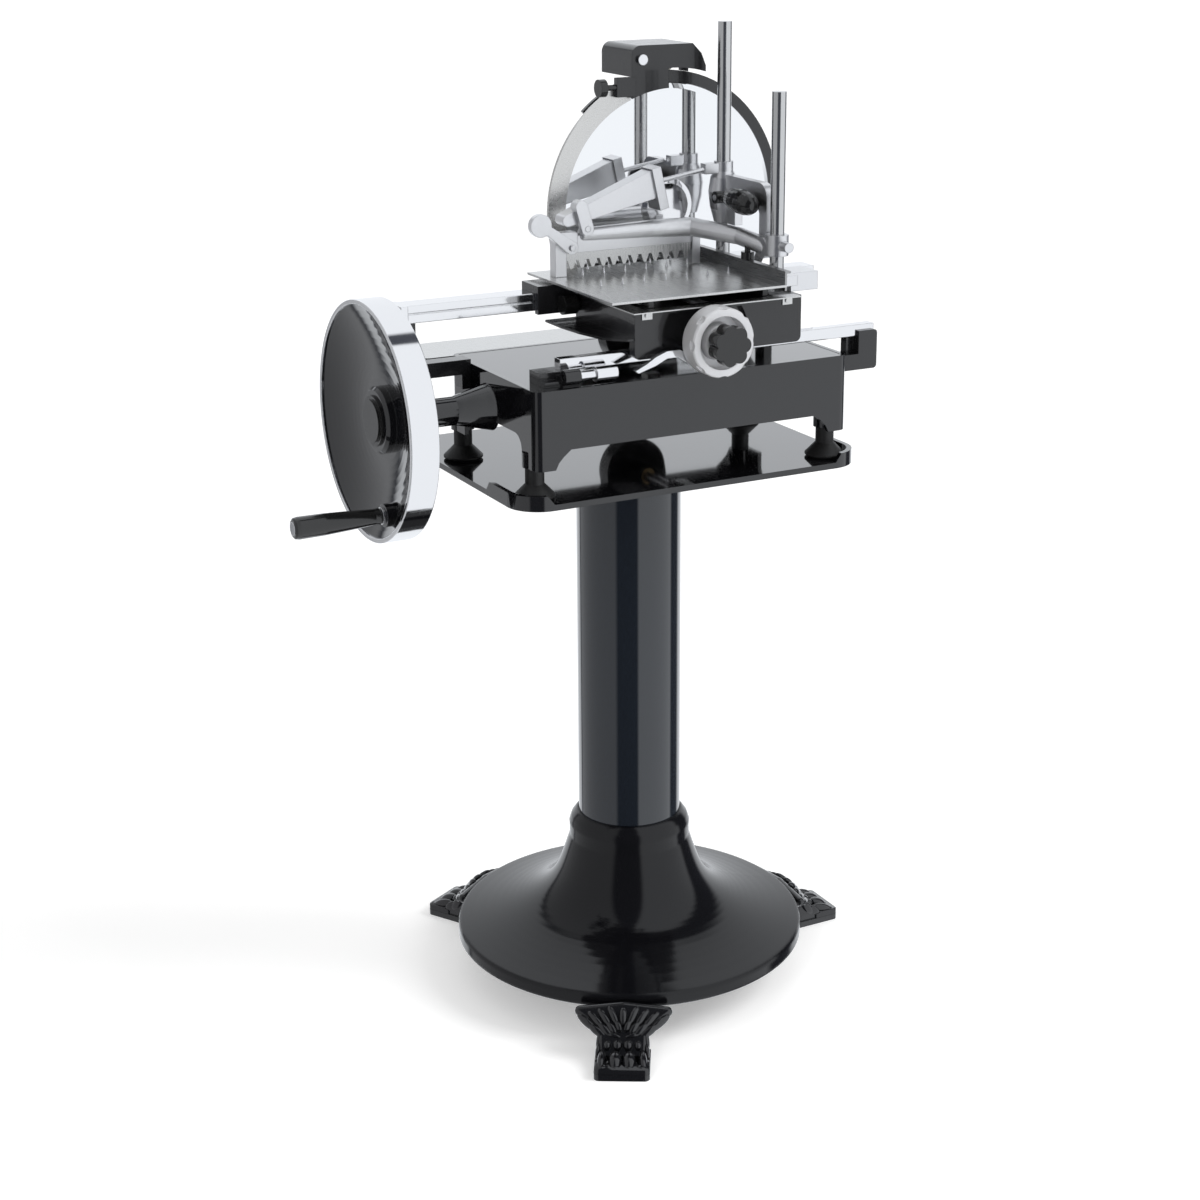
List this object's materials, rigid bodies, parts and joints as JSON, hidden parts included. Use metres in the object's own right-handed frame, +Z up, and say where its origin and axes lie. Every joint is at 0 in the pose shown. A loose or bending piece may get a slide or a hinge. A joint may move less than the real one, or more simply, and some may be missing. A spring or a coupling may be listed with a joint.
{
  "type": "hand crank meat slicer",
  "caption": "Hand crank meat slicer with a dished flywheel, large round blade, sliding carriage with meat clamp and thickness dial, on a cast pedestal with paw feet.",
  "frame": {"origin": "middle of the outline on the floor, under the stand", "axes": "+Z up, X along the carriage rail with the flywheel at -X, -Y towards the operator"},
  "size_m": [0.875, 0.6296, 1.363],
  "materials": {
    "gloss_black": "gloss",
    "column_black": "gloss",
    "black_cast": "satin",
    "chrome": "polished",
    "satin_steel": "satin",
    "dark_steel": "satin",
    "machined_steel": "machined",
    "cast_aluminium": "satin",
    "bronze": "machined",
    "black_rubber": "matt",
    "black_plastic": "gloss",
    "blade_mirror": "mirror",
    "stone_grey": "matt"
  },
  "bodies": {
    "frame": {"pedestal_base": "gloss_black", "paw_feet": "gloss_black", "column_tube": "column_black", "tie_rod": "machined_steel", "top_flange": "gloss_black", "tray": "gloss_black", "stand_screws": "chrome", "rubber_feet": "black_rubber", "base_casting": "gloss_black", "base_top_plate": "gloss_black", "receiving_plate": "satin_steel", "bearings": "bronze", "rail_brackets": "black_cast", "carriage_rail": "chrome", "front_bar": "chrome", "front_bar_bracket": "black_cast", "gear_case": "black_cast", "gear_case_cover": "black_cast", "guard_ring": "black_cast", "guard_band": "satin_steel", "sharpener_cover": "gloss_black", "sharpener_stones": "stone_grey", "lock_block": "black_cast", "lock_spring": "machined_steel"},
    "flywheel": {"flywheel_disc": "gloss_black", "flywheel_rim": "chrome", "hub_cap": "black_plastic", "flywheel_shaft": "machined_steel", "handle_spindle": "chrome"},
    "grip": {"handle_grip": "black_plastic"},
    "crank": {"crank_shaft": "machined_steel"},
    "cross": {"cross_shaft": "machined_steel"},
    "idler_low": {"lower_idler": "bronze"},
    "idler_up": {"upper_idler": "bronze"},
    "blade_spindle": {"blade_shaft": "chrome", "blade": "blade_mirror"},
    "carriage": {"carriage_body": "black_cast", "carriage_slider": "black_cast", "ledge_plate": "satin_steel"},
    "rocker": {"rocker_lever": "machined_steel"},
    "table": {"table_plate": "satin_steel", "table_spikes": "chrome", "fence": "dark_steel", "post_block": "cast_aluminium", "guide_posts": "satin_steel"},
    "feed": {"feed_screw": "machined_steel", "feed_knob": "black_plastic"},
    "dial": {"thickness_dial": "cast_aluminium"},
    "release": {"release_lever": "chrome"},
    "carriage_knob": {"side_knob": "black_plastic"},
    "plunger": {"lock_plunger": "chrome"},
    "clamp": {"clamp_slider": "cast_aluminium", "clamp_arm": "cast_aluminium", "gripper_comb": "satin_steel"},
    "clamp_grip": {"lock_grip": "black_plastic"},
    "press": {"press_plate": "cast_aluminium"},
    "thumb": {"thumb_lever": "cast_aluminium"},
    "tee": {"tee_knob": "black_plastic"},
    "button": {"sharpener_button": "chrome"},
    "ring_knob": {"guard_knob": "black_plastic"}
  },
  "joints": [
    {"name": "flywheel_spin", "type": "hinge", "parent": "frame", "child": "flywheel", "pos_m": [0.0925, -0.045, 0.884], "axis": [1, 0, 0], "continuous": true},
    {"name": "handle_grip_spin", "type": "hinge", "parent": "flywheel", "child": "grip", "pos_m": [-0.3775, -0.10321, 0.77451], "axis": [1, 0, 0], "continuous": true},
    {"name": "crank_spin", "type": "hinge", "parent": "frame", "child": "crank", "pos_m": [0.15207, -0.045, 0.9], "axis": [0, 0, 1], "continuous": true},
    {"name": "cross_shaft_spin", "type": "hinge", "parent": "frame", "child": "cross", "pos_m": [0.15207, 0, 0.846], "axis": [0, 1, 0], "continuous": true},
    {"name": "lower_idler_spin", "type": "hinge", "parent": "frame", "child": "idler_low", "pos_m": [0.16604, 0.1, 0.93111], "axis": [0, 1, 0], "continuous": true},
    {"name": "upper_idler_spin", "type": "hinge", "parent": "frame", "child": "idler_up", "pos_m": [0.18305, 0.1, 1.03472], "axis": [0, 1, 0], "continuous": true},
    {"name": "blade_spin", "type": "hinge", "parent": "frame", "child": "blade_spindle", "pos_m": [0.195, 0.08, 1.1075], "axis": [0, 1, 0], "continuous": true},
    {"name": "carriage_slide", "type": "slide", "parent": "frame", "child": "carriage", "axis": [1, 0, 0], "range_m": [-0.18, 0.085]},
    {"name": "rocker_swing", "type": "hinge", "parent": "frame", "child": "rocker", "pos_m": [0.15207, 0.052, 0.915], "axis": [0, 0, 1], "range_deg": [-49, 23.5]},
    {"name": "table_feed", "type": "slide", "parent": "carriage", "child": "table", "axis": [0, 1, 0], "range_m": [-0.12, 0]},
    {"name": "feed_screw_turn", "type": "hinge", "parent": "carriage", "child": "feed", "pos_m": [0.1135, -0.1, 0.976], "axis": [0, 1, 0], "range_deg": [-4320, 0]},
    {"name": "thickness_dial_turn", "type": "hinge", "parent": "carriage", "child": "dial", "pos_m": [0.1135, -0.2, 0.976], "axis": [0, 1, 0], "range_deg": [0, 270]},
    {"name": "release_lever_turn", "type": "hinge", "parent": "carriage", "child": "release", "pos_m": [0.0785, -0.189, 0.964], "axis": [0, 1, 0], "range_deg": [0, 20]},
    {"name": "side_knob_turn", "type": "hinge", "parent": "carriage", "child": "carriage_knob", "pos_m": [-0.0075, -0.022, 1.0035], "axis": [1, 0, 0], "range_deg": [0, 360]},
    {"name": "lock_plunger_pull", "type": "slide", "parent": "frame", "child": "plunger", "axis": [1, 0, 0], "range_m": [0, 0.006], "stiffness_N_per_m": 400, "springref_m": -0.004},
    {"name": "clamp_slide", "type": "slide", "parent": "table", "child": "clamp", "axis": [0, 0, 1], "range_m": [0, 0.185]},
    {"name": "lock_grip_turn", "type": "hinge", "parent": "clamp", "child": "clamp_grip", "pos_m": [0.2355, -0.002, 1.127], "axis": [1, 0, 0], "range_deg": [-35, 0]},
    {"name": "press_plate_swing", "type": "hinge", "parent": "clamp", "child": "press", "pos_m": [0.032, 0.02, 1.098], "axis": [0, 1, 0], "range_deg": [-10, 0]},
    {"name": "thumb_lever_press", "type": "hinge", "parent": "clamp", "child": "thumb", "pos_m": [0.0095, 0.007, 1.074], "axis": [0, 1, 0], "range_deg": [0, 15]},
    {"name": "tee_knob_turn", "type": "hinge", "parent": "clamp", "child": "tee", "pos_m": [0.2385, -0.072, 1.06], "axis": [0, 0, 1], "range_deg": [0, 360]},
    {"name": "sharpener_button_press", "type": "slide", "parent": "frame", "child": "button", "axis": [0, 1, 0], "range_m": [0, 0.004], "stiffness_N_per_m": 300, "springref_m": -0.003},
    {"name": "guard_knob_turn", "type": "hinge", "parent": "frame", "child": "ring_knob", "pos_m": [0.0925, 0.0625, 1.2765], "axis": [1, 0, 0], "range_deg": [0, 360]}
  ],
  "couplings": [
    {"joint": "crank_spin", "follows": "flywheel_spin", "ratio": -1},
    {"joint": "cross_shaft_spin", "follows": "flywheel_spin", "ratio": 1},
    {"joint": "lower_idler_spin", "follows": "flywheel_spin", "ratio": -0.68293},
    {"joint": "upper_idler_spin", "follows": "flywheel_spin", "ratio": 0.65116},
    {"joint": "blade_spin", "follows": "flywheel_spin", "ratio": -1.75},
    {"joint": "rocker_swing", "follows": "carriage_slide", "rad_per_m": 4.7},
    {"joint": "feed_screw_turn", "follows": "table_feed", "rad_per_m": 628.3}
  ]
}
